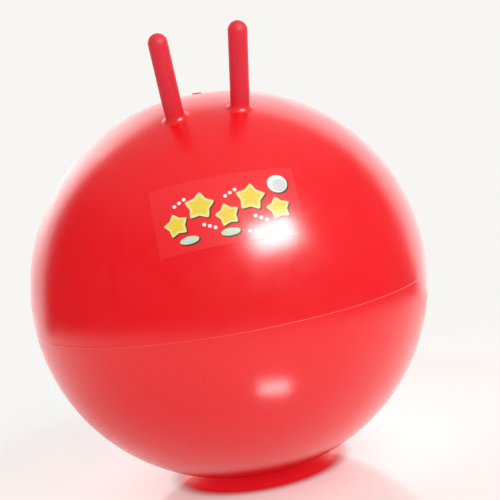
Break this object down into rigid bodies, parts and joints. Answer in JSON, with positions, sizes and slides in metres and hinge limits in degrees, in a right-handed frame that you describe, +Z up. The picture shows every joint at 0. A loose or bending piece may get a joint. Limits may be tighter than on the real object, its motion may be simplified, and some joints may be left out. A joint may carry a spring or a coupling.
{
  "type": "hopper ball",
  "caption": "Inflated, slightly flattened ball of glossy soft PVC with flexing horn handles, a pull-out valve plug, a fine seam and a film label, for sitting on and bouncing.",
  "frame": {"origin": "on the floor, straight below the valve, in the middle of the patch that the ball rests on", "axes": "+Z up along the ball's moulding axis, through the valve; -Y to the front, where the label is and the handles lean; +X to the right of someone who faces the label"},
  "size_m": [0.5005, 0.5006, 0.5545],
  "materials": {
    "skin": "glossy soft PVC",
    "film": "clear glossy film over the red skin",
    "plug": "satin white polyethylene"
  },
  "bodies": {
    "ball": {"upper_shell": "skin", "lower_shell": "skin", "left_horn_root": "skin", "right_horn_root": "skin", "valve_seat": "skin", "front_label": "film"},
    "left_handle": {"left_horn": "skin"},
    "right_handle": {"right_horn": "skin"},
    "plug": {"valve_plug": "plug"}
  },
  "joints": [
    {"name": "left_handle_flex", "type": "hinge", "parent": "ball", "child": "left_handle", "pos_m": [-0.03759, -0.10685, 0.45804], "axis": [1, 0, 0], "range_deg": [-20, 20], "stiffness_Nm_per_rad": 4, "deforming": ["left_horn_root"]},
    {"name": "right_handle_flex", "type": "hinge", "parent": "ball", "child": "right_handle", "pos_m": [0.03759, -0.10685, 0.45804], "axis": [1, 0, 0], "range_deg": [-20, 20], "stiffness_Nm_per_rad": 4, "deforming": ["right_horn_root"]},
    {"name": "plug_pull", "type": "slide", "parent": "ball", "child": "plug", "axis": [0, 0, 1], "range_m": [0, 0.025]}
  ]
}
